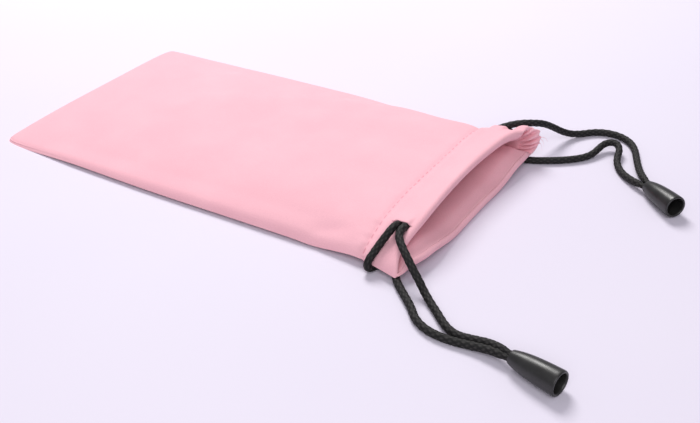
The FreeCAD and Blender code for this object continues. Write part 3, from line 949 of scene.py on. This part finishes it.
def corner_pleats():
    """The far end of the mouth is bunched into flat pleats, which open out at its edge."""
    down = np.linspace(0.0, 1.0, 97)
    edge_x, edge_y, edge_z = [through(PLEAT_EDGE[:, 0], PLEAT_EDGE[:, k], down) for k in (1, 2, 3)]
    bunched = smoothstep(0.03, 0.12, down) * smoothstep(PLEATED_SHARE + 0.10, PLEATED_SHARE - 0.10, down)
    rows = []
    for u in np.linspace(0.0, 1.0, 34):
        open_out = (1 - u) ** 1.2
        phase = 2 * math.pi * (PLEATS * (down / PLEATED_SHARE) ** 0.9 - 0.15 + 0.10 * math.sin(3.0 * u))
        depth = (0.5 - 0.5 * np.cos(phase)) ** 2 * (0.80 + 0.20 * np.sin(9 * down + 0.6))
        sink = 1 - (1 - u) ** 2
        x = edge_x - 0.0130 * u + 0.0001 * np.sin(phase + 1.0) * bunched * open_out
        y = edge_y - (0.0004 + 0.0036 * open_out * smoothstep(-0.03, 0.24, u)) * depth * bunched - 0.0020 * u
        inner_z = 0.0074 - 0.0062 * down
        sway = 0.0004 * open_out * np.sin(phase + 0.5) * bunched
        z = edge_z + (inner_z - edge_z) * sink + sway
        rows.append(np.stack([x, y, z], axis=-1))
    rows = np.array(rows)
    pleats = add_mesh("far_corner_pleats", rows.reshape(-1, 3), sheet_faces(*rows.shape[:2]), CLOTH_MATERIAL)
    thicken(pleats, 0.00042)
    return pleats


def loose_threads():
    """A few fibres pulled out of the cut edge at the far corner."""
    vertices, faces = [], []
    roots = [(0.0872, 0.0440, 0.0096), (0.0873, 0.0441, 0.0088),
             (0.0866, 0.0440, 0.0113), (0.0869, 0.0438, 0.0076)]
    tips = [(0.0026, 0.0006, -0.0012), (0.0018, -0.0008, -0.0022),
            (0.0009, 0.0017, 0.0010), (0.0014, 0.0002, -0.0030)]
    sides, rings = 6, 12
    for root, tip in zip(roots, tips):
        root, tip = np.array(root), np.array(tip)
        first = len(vertices)
        for i, t in enumerate(np.linspace(0, 1, rings)):
            centre = root + tip * t + np.array([0, 0.0004, 0.0005]) * math.sin(math.pi * t)
            r = 0.00007 * (1 - 0.5 * t)
            for j in range(sides):
                angle = 2 * math.pi * j / sides
                vertices.append(centre + np.array([0, r * math.cos(angle), r * math.sin(angle)]))
        for i in range(rings - 1):
            for j in range(sides):
                k = (j + 1) % sides
                a, b = first + i * sides, first + (i + 1) * sides
                faces.append((a + j, b + j, b + k, a + k))
        faces.append(tuple(first + j for j in reversed(range(sides))))
        faces.append(tuple(first + (rings - 1) * sides + j for j in range(sides)))
    threads = add_mesh("far_corner_loose_threads", vertices, faces, THREAD_MATERIAL)
    return threads


pleats = corner_pleats()
follow_mouth(pleats)
follow_mouth(loose_threads())


# ---------------------------------------------------------------- cords in the channels
def run_under_front(x):
    """Points of a cord in the upper channel, pulled up against the panel."""
    near, far, _ = outline_at(x)
    points = []
    for y in (-0.0246, -0.0200, -0.0130, -0.0050, 0.0050, 0.0140, 0.0220, 0.0290, 0.0345):
        s = y / (-near if y < 0 else far)
        points.append((x, y, float(arch(x, np.array(s), 0.00187)[2])))
    return points


# A cord in the lower channel: y, z
BACK_RUN = [
    (-0.0268, 0.00445), (-0.0229, 0.00325), (-0.0186, 0.00185), (-0.0080, 0.00195),
    (0.0070, 0.00193), (0.0196, 0.00185), (0.0239, 0.00325), (0.0279, 0.00445),
]
for cord, x in (("near", NEAR_CORD_X), ("far", FAR_CORD_X)):
    upper_run = braided_tube(cord + "_front_run_braid", centreline(run_under_front(x)))
    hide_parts(cord + "_cord_front_run")
    follow_mouth(upper_run)
    lower_run = braided_tube(cord + "_back_run_braid", centreline([(x, y, z) for y, z in BACK_RUN]))
    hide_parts(cord + "_cord_back_run")
    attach(lower_run, "pouch")


# ---------------------------------------------------------------- table and light
def make_stage():
    half, under = 3.0, -0.0001
    corners = [(-half, -half, under), (half, -half, under), (half, half, under), (-half, half, under)]
    table = add_mesh("table", corners, [(0, 1, 2, 3)], floor_material(), smooth=False)
    world = bpy.data.worlds.new("room")
    world.use_nodes = True
    background = world.node_tree.nodes["Background"]
    background.inputs["Color"].default_value = (0.94, 0.91, 1.0, 1.0)
    background.inputs["Strength"].default_value = 0.36
    bpy.context.scene.world = world
    lamps = [
        ("key", (-0.32, 0.40, 0.66), 0.40, 6.6, (1.0, 0.985, 0.975)),
        ("fill", (0.35, -0.60, 0.62), 0.8, 4.0, (0.985, 0.975, 1.0)),
    ]
    for name, place, size, power, colour in lamps:
        data = bpy.data.lights.new(name, "AREA")
        data.shape = "DISK"
        data.size = size
        data.energy = power
        data.color = colour
        lamp = bpy.data.objects.new(name, data)
        lamp.location = place
        lamp.rotation_euler = (Vector((0.0, 0.0, 0.0)) - Vector(place)).to_track_quat("-Z", "Y").to_euler()
        bpy.context.collection.objects.link(lamp)
    bpy.context.scene.view_settings.view_transform = "Standard"


make_stage()
